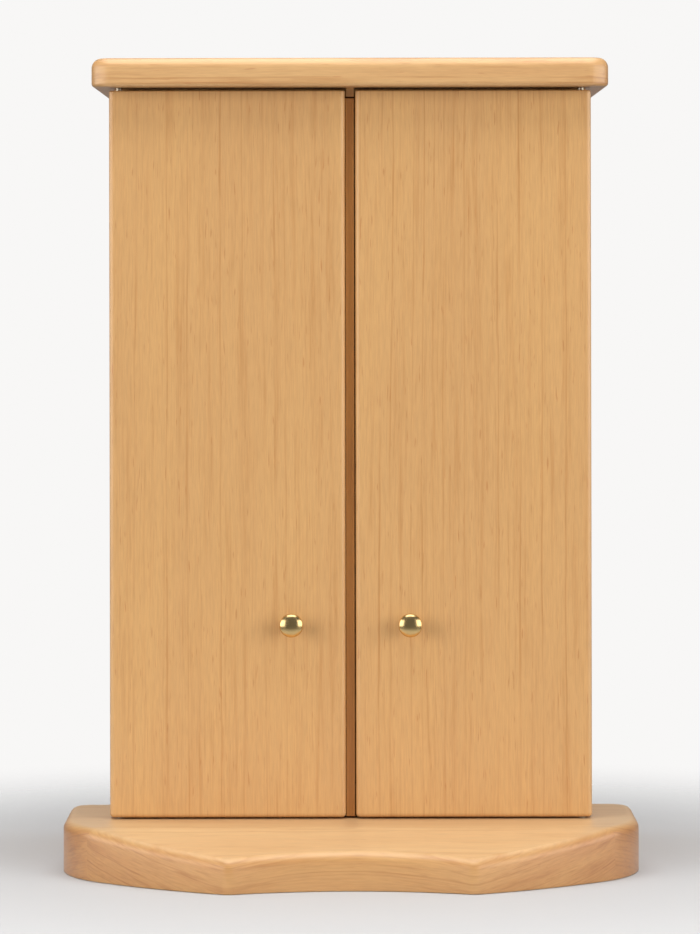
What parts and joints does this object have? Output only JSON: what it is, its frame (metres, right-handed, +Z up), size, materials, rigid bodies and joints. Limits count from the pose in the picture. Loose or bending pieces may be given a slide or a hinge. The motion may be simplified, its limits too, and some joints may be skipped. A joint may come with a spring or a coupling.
{
  "type": "household altar cabinet",
  "caption": "Small light-wood altar cabinet: hinged double doors with domed brass knobs, overhanging top board, and a shaped base with a hollowed front.",
  "frame": {"origin": "on the surface it stands on, under the middle of the base's bounding box", "axes": "+Z up, front with the doors towards -Y, +X to the viewer's right when facing the doors"},
  "size_m": [0.301, 0.2588, 0.4243],
  "materials": {
    "door_wood": "satin clear lacquer on straight-grained light wood",
    "board_wood": "satin clear lacquer on solid light wood",
    "inner_wood": "satin clear lacquer, plain",
    "strip_wood": "satin, warm brown",
    "polished_brass": "polished",
    "pin_steel": "bright turned steel"
  },
  "bodies": {
    "cabinet": {"base": "board_wood", "top_board": "board_wood", "side_panel_left": "inner_wood", "side_panel_right": "inner_wood", "back_panel": "inner_wood", "door_stop_rail": "inner_wood", "hinge_pin_top_left": "pin_steel", "hinge_pin_bottom_left": "pin_steel", "hinge_pin_top_right": "pin_steel", "hinge_pin_bottom_right": "pin_steel"},
    "left_door": {"door_left": "door_wood", "meeting_strip": "strip_wood", "knob_left": "polished_brass"},
    "right_door": {"door_right": "door_wood", "knob_right": "polished_brass"}
  },
  "joints": [
    {"name": "left_door_hinge", "type": "hinge", "parent": "cabinet", "child": "left_door", "pos_m": [-0.121, -0.03312, 0.2178], "axis": [0, 0, -1], "range_deg": [0, 180]},
    {"name": "right_door_hinge", "type": "hinge", "parent": "cabinet", "child": "right_door", "pos_m": [0.121, -0.03312, 0.2178], "axis": [0, 0, 1], "range_deg": [0, 180]}
  ]
}
